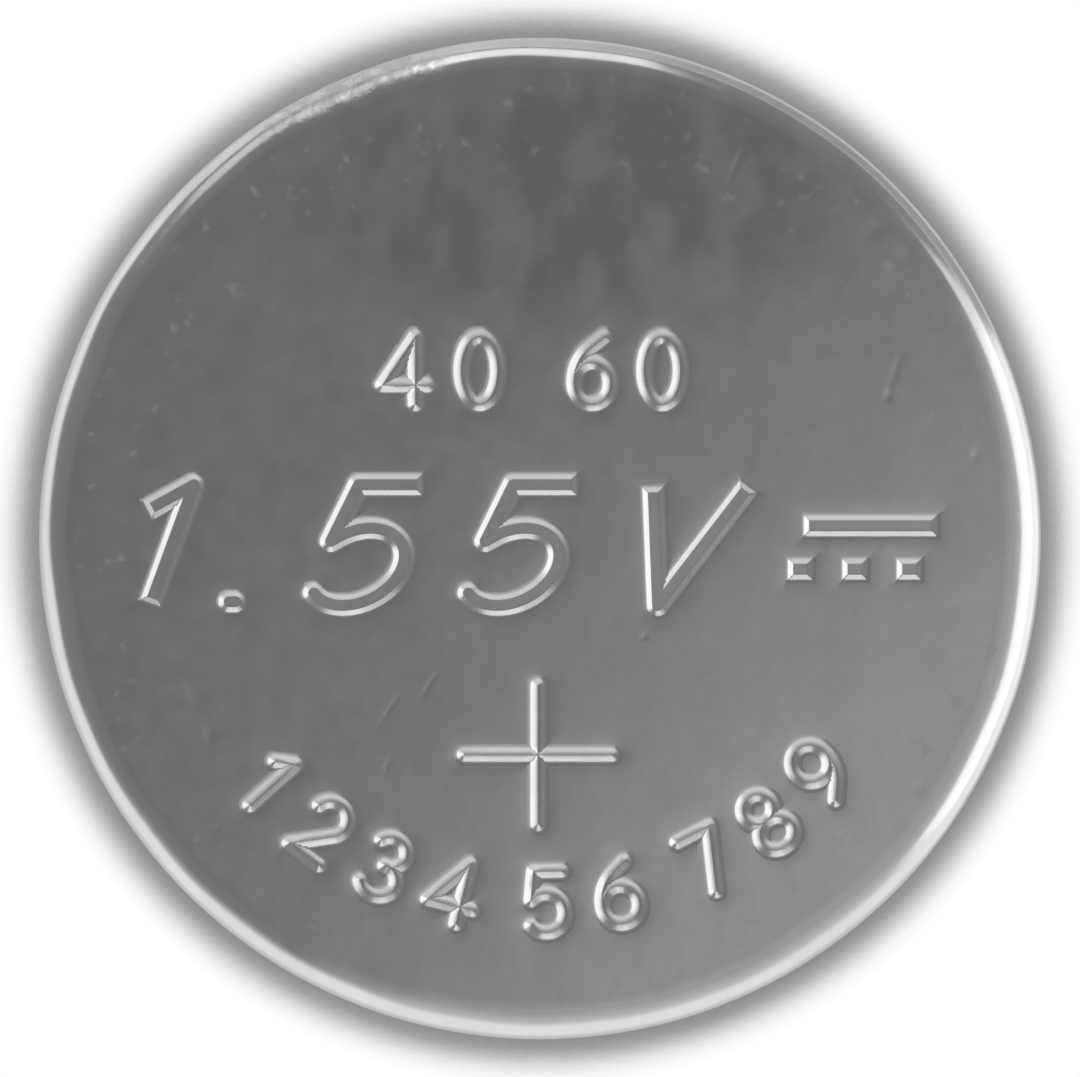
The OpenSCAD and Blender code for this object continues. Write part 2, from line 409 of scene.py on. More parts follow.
class MarkSet(NamedTuple):
    """Strokes pressed with one section that is twice half wide, and whether their ends are cut square."""

    strokes: list
    half: float
    wall: float
    depth: float
    square: bool

    def cuts(self, stroke):
        """Whether a stroke's ends are cut off square: they also have to be far enough apart."""
        return self.square and norm(stroke[0] - stroke[-1]) > self.half

    def stroke_distance(self, points, stroke):
        """Least distance from each point to its foot on each segment of a stroke, kept within the segment.

        At a square end it is half the width less how far in from the end the foot is, where that is more."""
        a, b = stroke[:-1], stroke[1:]
        run = b - a
        size = norm(run, axis=1)
        along = ((points[:, None] - a) * run).sum(-1) / size
        foot = a + np.clip(along, 0, size)[..., None] * run / size[:, None]
        away = norm(points[:, None] - foot, axis=-1)
        if self.cuts(stroke):
            away[:, 0] = np.maximum(away[:, 0], self.half - along[:, 0])
            away[:, -1] = np.maximum(away[:, -1], self.half - (size[-1] - along[:, -1]))
        return away.min(axis=1)

    def distance(self, points, limit):
        """Least distance from each point to the strokes, or limit where all of them are further than that."""
        least = np.full(len(points), limit)
        for stroke in self.strokes:
            low, high = stroke.min(axis=0) - limit, stroke.max(axis=0) + limit
            near = np.flatnonzero(((points > low) & (points < high)).all(axis=1))
            if len(near):
                least[near] = np.minimum(least[near], self.stroke_distance(points[near], stroke))
        return least

    def bends(self, root):
        """Distances from a stroke at which its wall leaves the floor and comes to its full slope."""
        return self.half - self.wall, self.half - self.wall * (1 - root)

    def contour(self, stroke, away, step):
        """Points at a distance from a stroke: beside it, round its corners, and across each square end."""
        run = np.diff(stroke, axis=0)
        size = norm(run, axis=1)
        way = run / size[:, None]
        reached = np.concatenate([[0.0], np.cumsum(size)])
        along = np.linspace(0.0, reached[-1], 2 + int(reached[-1] / step))
        at = np.clip(np.searchsorted(reached, along, side="right") - 1, 0, len(size) - 1)
        middle = stroke[at] + (along - reached[at])[:, None] * way[at]
        beside = away * way[at] @ QUARTER_TURN
        turns = np.arange(0, 2 * np.pi, step / max(away, step))
        corners = stroke[:, None] + away * np.stack([np.cos(turns), np.sin(turns)], axis=1)
        parts = [middle + beside, middle - beside, corners.reshape(-1, 2)]
        if self.cuts(stroke):
            across = np.linspace(-away, away, 2 + int(2 * away / step))[:, None]
            parts += [end + (self.half - away) * inward + across * (inward @ QUARTER_TURN)
                      for end, inward in stroke_ends(stroke)]
        return np.concatenate(parts)

    def mitres(self, step):
        """Rows of points where the walls of square ends meet the side walls, each row with its distance.

        Such a point is as far in from the end as it is from the side."""
        aways = np.linspace(self.half - self.wall, self.half, 2 + int(self.wall / step))[1:-1]
        ends = [end + (self.half - aways[:, None]) * inward + side * aways[:, None] * (inward @ QUARTER_TURN)
                for stroke in self.strokes if self.cuts(stroke)
                for end, inward in stroke_ends(stroke) for side in (1, -1)]
        return zip(np.stack(ends, axis=1), aways) if ends else ()


def mark_sets(marks):
    """The pressed marks: the large figures, then the narrow grooves."""
    large = row_strokes(marks.large_text, marks.large_cap, marks.large_y, gap=0.45, stretch=1.22,
                        slant=marks.large_slant, middle_x=-0.08 * MM)
    small = row_strokes(marks.small_text, marks.small_cap, marks.small_y, gap=0.55, stretch=0.9,
                        middle_x=-0.10 * MM)
    lower = arc_strokes(marks.arc_text, marks.arc_cap, marks.arc_r, marks.arc_span, marks.arc_middle)
    plus = row_strokes("+", marks.plus_size, marks.plus_y - marks.plus_size / 2, middle_x=-0.025 * MM)
    return [
        MarkSet(large, marks.recess_w / 2, marks.recess_wall_w, marks.recess_d, square=True),
        MarkSet(small + lower + plus, marks.groove_w / 2, marks.groove_w / 2, marks.groove_d, square=False),
    ]


def eased(t, first, last):
    """Rises from 0 to 1 as t does, at one slope but for a parabola over its first and its last share."""
    t = np.clip(t, 0.0, 1.0)
    slope = 1.0 / (1.0 - (first + last) / 2)
    low, high = slope * t**2 / (2 * first), 1.0 - slope * (1.0 - t) ** 2 / (2 * last)
    return np.where(t < first, low, np.where(t > 1 - last, high, slope * (t - first / 2)))


def nick_depth(points):
    """Depth of the nicks at each point, with x and y in each nick's own directions.

    It is the sum of depth * exp(-4 (x / length)^2 - 4 (y / width)^2)."""
    x, y, long, wide, way, deep = (np.array(NICKS) * ([MM] * 4 + [math.pi / 180, MM])).T
    away = points[:, None] - np.stack([x, y], axis=1)
    along = away[..., 0] * np.cos(way) + away[..., 1] * np.sin(way)
    across = away[..., 1] * np.cos(way) - away[..., 0] * np.sin(way)
    return (deep * np.exp(-4 * (along / long) ** 2 - 4 * (across / wide) ** 2)).sum(axis=1)


def face_depth(points, marks):
    """Depth of the face: the deepest mark at each point, the metal sunk beside it, and the nicks.

    The metal sinks by sink_d * exp(-2 away / sink_w), and past three times sink_w it doesn't count."""
    pressed, sunk = np.zeros((2, len(points)))
    for mark_set in mark_sets(marks):
        away = mark_set.distance(points, mark_set.half + 3 * marks.sink_w)
        wall_share = (mark_set.half - away) / mark_set.wall
        pressed = np.maximum(pressed, mark_set.depth * eased(wall_share, marks.brow, marks.root))
        outside = np.maximum(away - mark_set.half, 0.0)
        sunk = np.maximum(sunk, marks.sink_d * np.exp(-outside / marks.sink_w * 2))
    return pressed + sunk + nick_depth(points)


def face_normals(points, marks):
    """Upward directions of the face: (slope of the depth along x, slope along y, 1).

    The slopes are taken from the depths a nudge either side."""
    nudge = 0.001 * MM
    slopes = [(face_depth(points + way, marks) - face_depth(points - way, marks)) / (2 * nudge)
              for way in np.array([[nudge, 0], [0, nudge]])]
    normals = np.stack([*slopes, np.ones(len(points))], axis=1)
    return normals / norm(normals, axis=1, keepdims=True)


def lattice(step, radius):
    """Points of a lattice of equal triangles in a circle: rows step * sqrt(3) / 2 apart, shifted in turn."""
    rows = np.arange(-radius, radius, step * math.sqrt(3) / 2)
    x, y = np.meshgrid(np.arange(-radius, radius, step), rows)
    x[1::2] += step / 2
    points = np.stack([x.ravel(), y.ravel()], axis=1)
    return points[np.hypot(*points.T) < radius - 0.6 * step]


def edge_distance(points, marks):
    """How far each point lies outside the nearest mark or nick, or about three coarse steps if less."""
    limit = marks.coarse_step * 3
    nicks = np.array(NICKS)[:, :3] * MM
    from_nicks = norm(points[:, None] - nicks[:, :2], axis=-1) - nicks[:, 2] * 0.7
    rows = [mark_set.distance(points, limit) - mark_set.half for mark_set in mark_sets(marks)]
    return np.min([*rows, from_nicks.min(axis=1)], axis=0)


def thinned(points, gap):
    """The points, less those close to another: one is kept in each square cell, for four sets of cells."""
    for shift in ((0.0, 0.0), (0.5, 0.0), (0.0, 0.5), (0.5, 0.5)):
        cells = np.floor(points / gap + shift)
        points = points[np.unique(cells, axis=0, return_index=True)[1]]
    return points


def bend_points(marks):
    """Points along the marks' sharp bends, less those that another stroke of the same set runs over."""
    kept, step = [], marks.bend_step
    for mark_set in mark_sets(marks):
        rows = [(np.concatenate([mark_set.contour(stroke, away, step) for stroke in mark_set.strokes]), away)
                for away in mark_set.bends(marks.root)]
        for points, away in [*rows, *mark_set.mitres(step)]:
            found = mark_set.distance(points, 2 * mark_set.half)
            kept.append(thinned(points[np.abs(found - away) < 0.05 * step], 0.4 * step))
    return np.concatenate(kept)


def clear_of_bends(points, marks):
    """Whether each point stands off the marks' sharp bends by half a step or more."""
    clear = np.ones(len(points), bool)
    for mark_set in mark_sets(marks):
        found = mark_set.distance(points, 2 * mark_set.half)
        for away in mark_set.bends(marks.root):
            clear &= np.abs(found - away) > 0.55 * marks.fine_step
    return clear


def face_plan(marks, ring):
    """Points of the face in plan: the ring that joins it to the edge, the marks' sharp bends, and lattices
    on the marks, beside them and away from them."""
    near, far = marks.fine_step * 2, marks.middle_step * 4
    parts = [ring, bend_points(marks)]
    for step, low, high in ((marks.fine_step, -np.inf, near),
                            (marks.middle_step, near + marks.middle_step * 0.6, far),
                            (marks.coarse_step, far + marks.coarse_step * 0.5, np.inf)):
        points = lattice(step, np.hypot(*ring[0]))
        away = edge_distance(points, marks)
        points = points[(away > low) & (away < high)]
        parts.append(points[clear_of_bends(points, marks)])
    return np.concatenate(parts)


def face_triangles(plan):
    """Corner numbers of the triangles that join the points of the plan, counter-clockwise from above."""
    points, _, faces, *_ = delaunay_2d_cdt((plan / MM).tolist(), [], [], 0, 1e-7, False)
    if len(points) != len(plan):
        raise RuntimeError("two points of the face fell together")
    return np.array(faces)


# ---- materials


# Span that noise mostly keeps to
USUAL = 0.3, 0.7


def node(kind, inputs, tree=None, **settings):
    """Adds a shader node, sets its properties, and sets or links its inputs.

    If no tree is given, it is that of a socket among the inputs."""
    sockets = {name: value for name, value in inputs.items() if isinstance(value, bpy.types.NodeSocket)}
    tree = tree or next(iter(sockets.values())).id_data
    made = tree.nodes.new("ShaderNode" + kind)
    for name, value in settings.items():
        setattr(made, name, value)
    for name, value in inputs.items():
        if name in sockets:
            tree.links.new(value, made.inputs[name])
        else:
            made.inputs[name].default_value = value
    return made


def source(tree, kind, output):
    """An output of a new node that has no inputs."""
    return node(kind, {}, tree).outputs[output]


def emptied(data):
    """The node tree of a material or a world, less the nodes it starts with."""
    data.use_nodes = True
    data.node_tree.nodes.clear()
    return data.node_tree


def tinted(base, factor=1.0):
    """A colour times a factor, with full opacity."""
    return (*[min(1.0, part * factor) for part in base], 1.0)


def grey(value):
    """A grey with full opacity."""
    return tinted([value] * 3)


def maths(operation, *values):
    """Values joined by an operation, one after another."""
    made = node("Math", dict(enumerate(values[:2])), operation=operation).outputs[0]
    return maths(operation, made, *values[2:]) if len(values) > 2 else made


def sum_of(*values):
    """Values added together."""
    return maths("ADD", *values)


def product_of(*values):
    """Values multiplied together."""
    return maths("MULTIPLY", *values)


def vector_maths(operation, *values):
    """Vectors joined by an operation: a number for a length or a dot product, and otherwise a vector."""
    made = node("VectorMath", dict(enumerate(values)), operation=operation)
    return made.outputs["Value" if operation in ("LENGTH", "DOT_PRODUCT") else "Vector"]


def part_of(vector, axis):
    """A vector's part along one axis, from 0 to 2."""
    return node("SeparateXYZ", {0: vector}).outputs[axis]


def spread(value, low, high, bottom=0.0, top=1.0, kind="LINEAR"):
    """value, with the span from low to high carried to the span from bottom to top."""
    return node("MapRange", {"Value": value, "From Min": low, "From Max": high, "To Min": bottom,
                             "To Max": top}, interpolation_type=kind).outputs[0]


def smooth(value, low, high, bottom=0.0, top=1.0):
    """The same as spread, with a smooth rise."""
    return spread(value, low, high, bottom, top, "SMOOTHSTEP")


def ramp(value, *stops):
    """A grey read off straight lines between stops, each a value from 0 to 1 and its grey."""
    made = node("ValToRGB", {"Fac": value})
    elements = made.color_ramp.elements
    for _ in stops[2:]:
        elements.new(1.0)
    for element, (position, tone) in zip(elements, stops):
        element.position, element.color = position, grey(tone)
    return made.outputs[0]


def mixed(factor, first, second):
    """Two colours mixed by a factor."""
    return node("Mix", {0: factor, 6: first, 7: second}, data_type="RGBA").outputs[2]


def noise(place, size, detail=2.0, roughness=0.5, stretch=(1, 1, 1), turned=0.0):
    """Noise with features of about a size in millimetres, drawn out by stretch along axes turned about Z."""
    scale = [1.0 / (size * MM * s) for s in stretch]
    mapped = node("Mapping", {"Vector": place, "Scale": scale, "Rotation": (0, 0, turned)})
    return node("TexNoise", {"Vector": mapped.outputs[0], "Scale": 1.0, "Detail": detail,
                             "Roughness": roughness}).outputs[0]


def bumps(*layers):
    """Bumps one over another, each a height from 0 to 1 and its depth in millimetres."""
    before = {}
    for height, depth in layers:
        bump = node("Bump", {"Height": height, "Distance": depth * MM, **before}).outputs[0]
        before = {"Normal": bump}
    return bump


def oval(place, reach_x, reach_y, inner, middle=(0.0, 0.0)):
    """1 within an upright oval about a middle, in millimetres, and 0 outside it.

    It fades from the inner share of its reach to the whole."""
    moved = vector_maths("SUBTRACT", place, [middle[0] * MM, middle[1] * MM, 0.0])
    scaled = vector_maths("MULTIPLY", moved, [1.0 / (reach_x * MM), 1.0 / (reach_y * MM), 0.0])
    return smooth(vector_maths("LENGTH", scaled), 1.0, inner)


def below_face(place, low, high):
    """Runs from 0 to 1 as the depth below the face goes from low to high, in millimetres."""
    return spread(part_of(place, 2), CAN[2] - low * MM, CAN[2] - high * MM)


def plate(place, finishes, handled=False):
    """Nickel plate: satin, faintly clouded, and finely drawn on the side.

    A handled face has stains, specks, a scuffed edge, and duller floors in its marks."""
    cloud = noise(place, 0.75, 3.0, 0.55, stretch=(1, 1.5, 6))
    dull = noise(place, 0.30, 4.0, 0.6, stretch=(1, 1, 8))
    rise = maths("ABSOLUTE", part_of(source(place.id_data, "NewGeometry", "Normal"), 2))
    draw = product_of(noise(place, 0.03, stretch=(1, 1, 60)), spread(rise, 0.6, 0.2))
    rough = spread(dull, *USUAL, finishes.plate_rough - 0.03, finishes.plate_rough + 0.03)
    layers = [(cloud, 0.0025), (noise(place, 0.05), 0.00012), (draw, 0.0005)]
    tone = mixed(spread(cloud, *USUAL), tinted(finishes.plate), tinted(finishes.plate_worn))
    if handled:
        middle = SCUFF_R * math.cos(SCUFF_ANGLE), SCUFF_R * math.sin(SCUFF_ANGLE)
        mottle = noise(place, 0.15, 2.5)
        edge_only = product_of(below_face(place, 0.001, 0.015), below_face(place, 0.55, 0.30))
        scuff = product_of(oval(place, 1.5, 1.2, 0.55, middle), edge_only, spread(mottle, 0.35, 0.6))
        blots = noise(place, 0.80, 1.6, 0.45, stretch=(0.8, 1.3, 1), turned=0.35)
        stain = product_of(oval(place, 4.1, 1.95, 0.40, (0.55, 3.90)), smooth(blots, 0.40, 0.60, 0.30))
        hollow = spread(oval(place, 4.9, 4.9, 0.9, (0.0, -0.4)), 1.0, 0.0)
        speck = product_of(oval(place, 5.6, 5.6, 0.93), hollow, smooth(noise(place, 0.19, 1.0), 0.64, 0.82))
        pressed = product_of(oval(place, 5.35, 5.35, 0.98), below_face(place, 0.004, 0.02))
        tone = mixed(sum_of(stain, product_of(scuff, 0.7)), tone, tinted(finishes.plate_stained))
        rough = sum_of(rough, product_of(scuff, 0.20), product_of(speck, 0.16), product_of(pressed, 0.09))
        layers.append((product_of(scuff, mottle), 0.005))
    return {"Base Color": tone, "Roughness": rough, "Metallic": 1.0, "Normal": bumps(*layers)}


def powder(place, base, grain, rough, metallic, depth):
    """Pressed or gelled powder: grains of uneven tone, with a bump that follows them."""
    cells = node("TexVoronoi", {"Vector": place, "Scale": 1.0 / (grain * MM)})
    grains, fleck = cells.outputs["Distance"], noise(place, grain * 3, 4.0, 0.6)
    tone = sum_of(spread(grains, 0, 1, 0.7, 0), spread(fleck, *USUAL, -0.2, 0.3))
    return {"Base Color": mixed(tone, tinted(base, 0.6), tinted(base, 1.6)), "Metallic": metallic,
            "Roughness": spread(fleck, *USUAL, rough - 0.1, rough + 0.1),
            "Normal": bumps((grains, depth), (fleck, depth))}


def nylon(place, base):
    """Moulded nylon: slightly clear, with a soft moulded grain."""
    cloud = noise(place, 0.8, 3.0)
    return {"Base Color": mixed(spread(cloud, *USUAL), tinted(base), tinted(base, 0.86)),
            "Roughness": spread(noise(place, 0.2, 3.0), *USUAL, 0.34, 0.48),
            "Normal": bumps((cloud, 0.004), (noise(place, 0.05), 0.0006)),
            "Subsurface Weight": 0.15, "Subsurface Radius": (0.3 * MM, 0.25 * MM, 0.2 * MM)}


def fibre(place, base, rough, depth):
    """Felt or film: fibres lying in two directions, faint on film and deep on felt."""
    both = maths("MAXIMUM", noise(place, 0.03, stretch=(1, 9, 9), turned=0.4),
                 noise(place, 0.03, stretch=(9, 1, 9), turned=0.9))
    return {"Base Color": mixed(spread(both, 0.4, 0.7), tinted(base, 0.82), tinted(base)),
            "Roughness": spread(both, *USUAL, rough + 0.08, rough - 0.08), "Normal": bumps((both, depth))}


def painted_shade_grey(place):
    """Painted shade, seen in reflections only: grey, darkest at the upper right and paler to the left."""
    round_z = node("TexGradient", {"Vector": place}, gradient_type="RADIAL").outputs["Fac"]
    stops = (25, 0.40), (65, 0.44), (90, 0.64), (105, 0.78), (140, 0.95)
    # The gradient runs from 0 to 1 over a whole turn, from half a turn behind the X axis
    return {"Base Color": ramp(round_z, *[(0.50 + turned / 360, tone) for turned, tone in stops])}


def material_of(name, surface, *settings):
    """A material whose principled shader takes what a surface makes of the object's own places."""
    material = bpy.data.materials.new(name)
    shader = node("BsdfPrincipled", surface(source(emptied(material), "TexCoord", "Object"), *settings))
    node("OutputMaterial", {0: shader.outputs[0]})
    return material


# ---- pieces


def mouth_section(s):
    """The rolled mouth from the end of the side to the start of the bore, round its worn edge.

    Each corner of the cut is an arc of radius e that touches the cut and the sheet's surface. Its centre is
    asin(e / (R - e)) back from the cut on the outside and asin(e / (R + e)) on the inside."""
    edge, cut = s.mouth_edge_r, -s.crimp_a
    outer_a = cut + math.degrees(math.asin(edge / (s.crimp_r - edge)))
    inner_a = cut + math.degrees(math.asin(edge / (s.seal_r + edge)))
    return section(
        bend(s.roll, s.crimp_r, 0, outer_a, 12),
        bend(bend(s.roll, s.crimp_r - edge, outer_a, outer_a, 0), edge, outer_a, cut - 90, 4),
        bend(bend(s.roll, s.seal_r + edge, inner_a, inner_a, 0), edge, cut - 90, inner_a - 180, 4),
        bend(s.roll, s.seal_r, inner_a, 0, 5),
    )


def ripple(u, wavelength, seed, count=14):
    """A wavy line of about unit height from a seed: the sum of cosine waves that cross it at any angle."""
    draw = np.random.default_rng(seed)
    way, phase = draw.uniform(0, 2 * np.pi, (2, count))
    number = 2 * np.pi / (wavelength * draw.uniform(0.7, 1.5, count))
    waves = (np.cos(n * (u * math.cos(w)) + p) for n, w, p in zip(number, way, phase))
    return sum(waves) * math.sqrt(2.0 / count)


def edge_radius(s, a):
    """Radius of the face's edge at each angle: it ripples slightly, and is more where the edge is scuffed."""
    drawn = s.face_edge_r + 0.010 * MM * ripple(a * s.can_r, 1.7 * MM, 3)
    scuffed = np.clip(1.0 - ((a - SCUFF_ANGLE) / SCUFF_HALF) ** 2, 0.0, 1.0)
    chafe = np.clip(0.5 + 0.5 * ripple(a * s.can_r, 0.35 * MM, 5), 0, 1)
    return drawn + scuffed * (0.02 + 0.03 * chafe) * MM


class CELL_OT_positive_can(bpy.types.Operator):
    """Draws the can: the face with its pressed marks, the rounded edge, the side and the rolled mouth."""

    bl_idname = "button_cell.positive_can"
    bl_label = "Positive Can"
    bl_options = {"REGISTER", "UNDO"}

    def execute(self, context):
        s, marks = context.scene.cell_sizes, context.scene.cell_marks
        columns, a = s.columns, ring_angles(s.columns)
        edge = edge_radius(s, a)
        # Rows from the flat of the face, over the edge and down to the side
        flat_r = FACE_R + np.linspace(0.0, 1.0, 6)[:, None] * (s.can_r - edge - FACE_R)
        tilt = np.radians(np.linspace(0, 90, 17)[1:])[:, None]
        edge_r, edge_z = s.can_r - edge * (1 - np.sin(tilt)), s.face_z - edge * (1 - np.cos(tilt))
        top = around(np.concatenate([flat_r, edge_r]), a, np.concatenate([0 * flat_r + s.face_z, edge_z]))
        top[:, 2] -= nick_depth(top[:, :2])
        corner = [s.can_r - s.face_edge_r, s.face_z - s.face_edge_r]
        rest = section(
            line([s.can_r, corner[1] - 0.12 * MM], [s.can_r, s.roll[1]], 3),
            mouth_section(s),
            bend(corner, s.face_edge_r - s.can_t, 0, 90, 4),
        )
        rings = np.concatenate([top, turn(rest, columns)])
        plan = face_plan(marks, top[:columns, :2])
        inner = plan[columns:]
        face = np.column_stack([inner, s.face_z - face_depth(inner, marks)])
        points = np.concatenate([rings, face, [[0, 0, s.can_floor_z]]])
        # The plan's first points are the first ring, and the others come after the last ring
        first, last_ring = len(rings), np.arange(len(rings) - columns, len(rings))
        triangles = face_triangles(plan)
        triangles = np.where(triangles >= columns, triangles - columns + first, triangles)
        mesh = make_mesh("can_shell", points, grid_faces(first // columns, columns), triangles,
                         fan_faces(len(points) - 1, last_ring, False))
        normals = np.zeros((len(points), 3))
        normals[first:-1] = face_normals(inner, marks)
        mesh.normals_split_custom_set_from_vertices(normals)
        plating = material_of("nickel_plate_can", plate, context.scene.cell_finishes, True)
        add_piece("can_shell", mesh, plating, "can_plate", "positive_can")
        return {"FINISHED"}


class CELL_OT_negative_cup(bpy.types.Operator):
    """Presses the cup: contact, boss, step, shoulder and skirt."""

    bl_idname = "button_cell.negative_cup"
    bl_label = "Negative Cup"
    bl_options = {"REGISTER", "UNDO"}

    def execute(self, context):
        s = context.scene.cell_sizes
        t = s.cup_t
        profile = section(
            [0, t], line([POLE_R, t], [s.contact[0], t], 4),
            bend(s.contact, s.contact_edge_r - t, -90, 0),
            bend(s.step, s.bend_r + t, 180, 90),
            bend(s.roll, s.bend_r, -90, 0, 6),
            [s.skirt_bore_r, s.skirt_z], [s.skirt_r, s.skirt_z],
            bend(s.roll, s.shoulder_r, 0, -90, 12),
            bend(s.step, s.bend_r, 90, 180, 6),
            bend(s.contact, s.contact_edge_r, 0, -90, 14),
            line([s.contact[0] - 0.1 * MM, 0], [POLE_R, 0], 4), [0, 0],
        )
        plating = material_of("nickel_plate_cup", plate, context.scene.cell_finishes)
        add_turned("cup_shell", profile, s.columns, plating, "cup_plate", "negative_cup")
        return {"FINISHED"}


class CELL_OT_sealing_gasket(bpy.types.Operator):
    """Moulds the gasket: base, inner lip, wall and the foot that shows round the cup."""

    bl_idname = "button_cell.sealing_gasket"
    bl_label = "Sealing Gasket"
    bl_options = {"REGISTER", "UNDO"}

    def execute(self, context):
        s = context.scene.cell_sizes
        profile = section(
            [s.lip_bore_r, s.barrier_z], [s.bore_r, s.barrier_z],
            bend(s.roll, s.seal_r, 0, -90, 14),
            [s.boss_r, s.foot_z], [s.boss_r, s.step[1]],
            bend(s.step, s.bend_r, 180, 90, 6),
            bend(s.roll, s.shoulder_r, -90, 0, 12),
            [s.skirt_r, s.skirt_z], [s.skirt_bore_r, s.skirt_z], [s.skirt_bore_r, s.lip_tip_z],
            [s.skirt_bore_r - s.lip_tip_t, s.lip_tip_z], [s.lip_bore_r, s.lip_tip_z + s.lip_taper_h],
        )
        plastic = material_of("natural_nylon", nylon, context.scene.cell_finishes.nylon)
        add_turned("gasket_ring", profile, s.columns, plastic, "gasket_plastic", "sealing_gasket")
        return {"FINISHED"}


class CELL_OT_cathode(bpy.types.Operator):
    """Presses the pellet and the angle ring that guards its lower edge."""

    bl_idname = "button_cell.cathode"
    bl_label = "Cathode Pellet and Sleeve"
    bl_options = {"REGISTER", "UNDO"}

    def execute(self, context):
        s, finishes = context.scene.cell_sizes, context.scene.cell_finishes
        t, columns = s.sleeve_t, s.columns // 3
        hole_r, turn_r = s.bore_r - s.flange_w, s.bend_r + t
        heel = np.array([s.bore_r - turn_r, s.pellet_z + turn_r])
        sleeve = section(
            [s.bore_r - t, s.sleeve_z], [s.bore_r, s.sleeve_z],
            bend(heel, turn_r, 0, -90),
            [hole_r, s.pellet_z], [hole_r, s.pellet_z + t],
            bend(heel, s.bend_r, -90, 0),
        )
        edge = s.face_edge_r - s.can_t
        pellet = section(
            [0, s.can_floor_z], [POLE_R, s.can_floor_z],
            bend([s.bore_r - edge, s.can_floor_z - edge], edge, 90, 0, 5),
            [s.bore_r, s.sleeve_z], [s.bore_r - t, s.sleeve_z],
            bend(heel, s.bend_r, 0, -90),
            [hole_r, s.pellet_z + t], [hole_r, s.pellet_z], [POLE_R, s.pellet_z], [0, s.pellet_z],
        )
        oxide = material_of("pressed_oxide", powder, finishes.pellet, 0.05, 0.72, 0.0, 0.004)
        add_turned("pellet_disc", pellet, columns, oxide, "pellet_powder", "cathode_pellet")
        steel = material_of("sleeve_steel", plate, finishes)
        add_turned("sleeve_ring", sleeve, columns, steel, "sleeve_steel", "cathode_sleeve")
        return {"FINISHED"}


class CELL_OT_separators(bpy.types.Operator):
    """Lays in the barrier film and the absorbent felt."""

    bl_idname = "button_cell.separators"
    bl_label = "Separators"
    bl_options = {"REGISTER", "UNDO"}

    def execute(self, context):
        s, finishes = context.scene.cell_sizes, context.scene.cell_finishes
        film = material_of("barrier_film", fibre, finishes.film, 0.30, 0.0008)
        felt = material_of("absorbent_felt", fibre, finishes.felt, 0.85, 0.010)
        for name, radius, low, high, *rest in (
            ("barrier_sheet", s.barrier_r, s.barrier_z, s.pellet_z, film, "barrier_plastic", "barrier_film"),
            ("absorbent_pad", s.lip_bore_r, s.skirt_z, s.barrier_z, felt, "absorbent_felt", "absorbent_disc"),
        ):
            profile = [[0, high], [POLE_R, high], [radius, high], [radius, low], [POLE_R, low], [0, low]]
            add_turned(name, path(profile), s.columns // 3, *rest)
        return {"FINISHED"}


class CELL_OT_zinc_anode(bpy.types.Operator):
    """Fills the cup with gelled zinc powder."""

    bl_idname = "button_cell.zinc_anode"
    bl_label = "Zinc Anode"
    bl_options = {"REGISTER", "UNDO"}

    def execute(self, context):
        s = context.scene.cell_sizes
        t = s.cup_t
        profile = section(
            [0, s.skirt_z], [POLE_R, s.skirt_z], [s.lip_bore_r, s.skirt_z],
            [s.lip_bore_r, s.lip_tip_z + s.lip_taper_h], [s.skirt_bore_r - s.lip_tip_t, s.lip_tip_z],
            [s.skirt_bore_r, s.lip_tip_z],
            bend(s.roll, s.bend_r, 0, -90, 6),
            bend(s.step, s.bend_r + t, 90, 180),
            bend(s.contact, s.contact_edge_r - t, 0, -90),
            [POLE_R, t], [0, t],
        )
        gel = material_of("zinc_gel", powder, context.scene.cell_finishes.gel, 0.11, 0.45, 0.35, 0.010)
        add_turned("anode_gel", profile, s.columns // 3, gel, "anode_powder", "zinc_anode")
        return {"FINISHED"}


# ---- stage


def softbox(name, azimuth, elevation, distance, width, height, radiance, glossy=True):
    """A lamp that faces the cell, given by the brightness it shows.

    An area lamp spreads its power over pi times its area."""
    data = bpy.data.lights.new(name, "AREA")
    data.shape = "RECTANGLE"
    data.size, data.size_y = width, height
    data.energy = radiance * math.pi * width * height
    lamp = add_object(name, data)
    a, e = math.radians(azimuth), math.radians(elevation)
    way = Vector((math.cos(a) * math.cos(e), math.sin(a) * math.cos(e), math.sin(e)))
    lamp.location = way * distance
    lamp.rotation_euler = way.to_track_quat("Z", "Y").to_euler()
    lamp.visible_camera, lamp.visible_glossy = False, glossy


def finished(output, factor, first, second):
    """Leads two shaders, joined by a factor, to the output."""
    both = node("MixShader", {0: factor, 1: first.outputs[0], 2: second.outputs[0]})
    node(output, {0: both.outputs[0]})


def floor_material(looks):
    """Pale floor with a contact shadow: it darkens as more of its near surroundings is closed off.

    In reflections a painted shade dims it towards the cell over a wider ring, so that the cell's edge ends
    softly."""
    material = bpy.data.materials.new("floor")
    tree = emptied(material)
    near = node("AmbientOcclusion", {"Distance": looks.halo}, tree, samples=32)
    # Painted contact shadow: the floor's emitted colour follows the ambient occlusion
    tone = ramp(near.outputs["AO"], (0.0, 0.02), (0.40, 0.08), (0.72, 0.24), (0.824, 0.295),
                (0.865, 0.533), (0.908, 0.80), (0.93, 0.89), (0.96, 0.96), (0.99, 1.0))
    rays = node("LightPath", {}, tree).outputs
    away = vector_maths("LENGTH", source(tree, "TexCoord", "Object"))
    # Painted shade: glossy rays see the floor dimmer near the cell, as if shaded there
    reflected_painted_shade = product_of(rays["Is Glossy Ray"], spread(away, 6.0 * MM, 17.5 * MM, 0.51, 0.0))
    lit = node("BsdfDiffuse", {"Color": tinted(looks.floor)}, tree)
    white = node("Emission", {"Color": tone, "Strength": maths("SUBTRACT", 1.0, reflected_painted_shade)})
    seen = maths("MAXIMUM", rays["Is Camera Ray"], rays["Is Glossy Ray"])
    finished("OutputMaterial", seen, lit, white)
    return material


